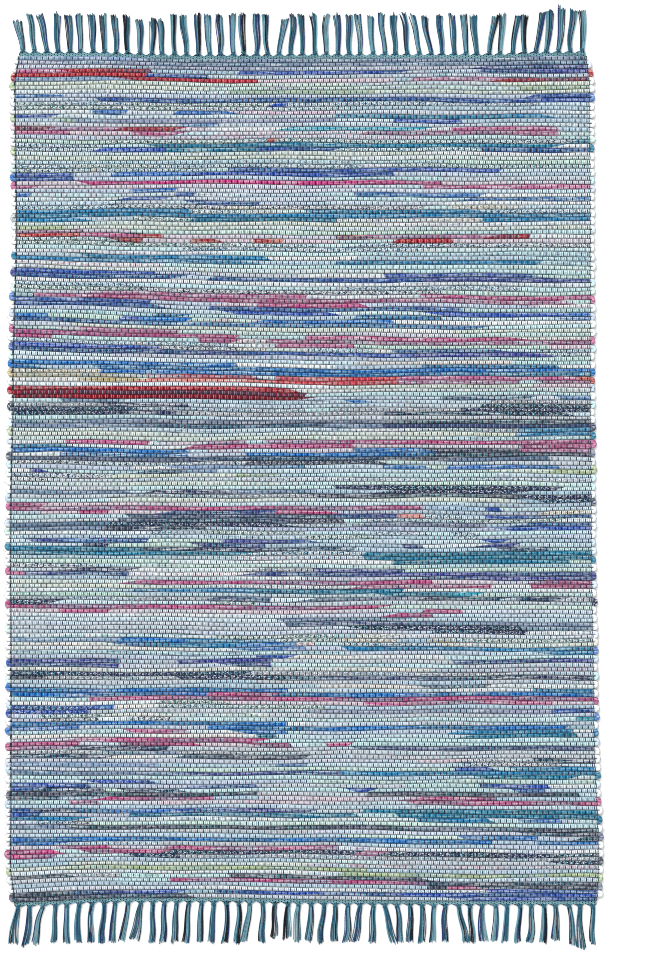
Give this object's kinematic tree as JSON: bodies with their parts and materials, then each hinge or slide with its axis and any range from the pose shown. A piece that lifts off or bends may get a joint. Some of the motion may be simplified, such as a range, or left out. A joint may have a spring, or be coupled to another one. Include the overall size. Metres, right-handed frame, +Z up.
{
  "type": "rag rug",
  "caption": "Hand-woven cotton rag rug with ribbed rows of folded rag, looped selvedges and a knotted warp fringe at both ends, lying flat.",
  "frame": {"origin": "middle of the rug's footprint on the floor", "axes": "+X across the rug, +Y along the warp towards the head end, +Z up from the floor"},
  "size_m": [1.22, 1.9168, 0.007],
  "materials": {
    "rag_cotton": "folded cotton rag strips in pale, blue, pink, red, yellow-green and grey rows under a teal, navy and sage cotton warp, matt and slightly fuzzy",
    "warp_cotton": "two-ply cotton warp yarn in petrol, sage, navy and black, matt"
  },
  "bodies": {
    "root": {"woven_body": "rag_cotton", "fringe_head": "warp_cotton", "fringe_foot": "warp_cotton"}
  },
  "joints": []
}
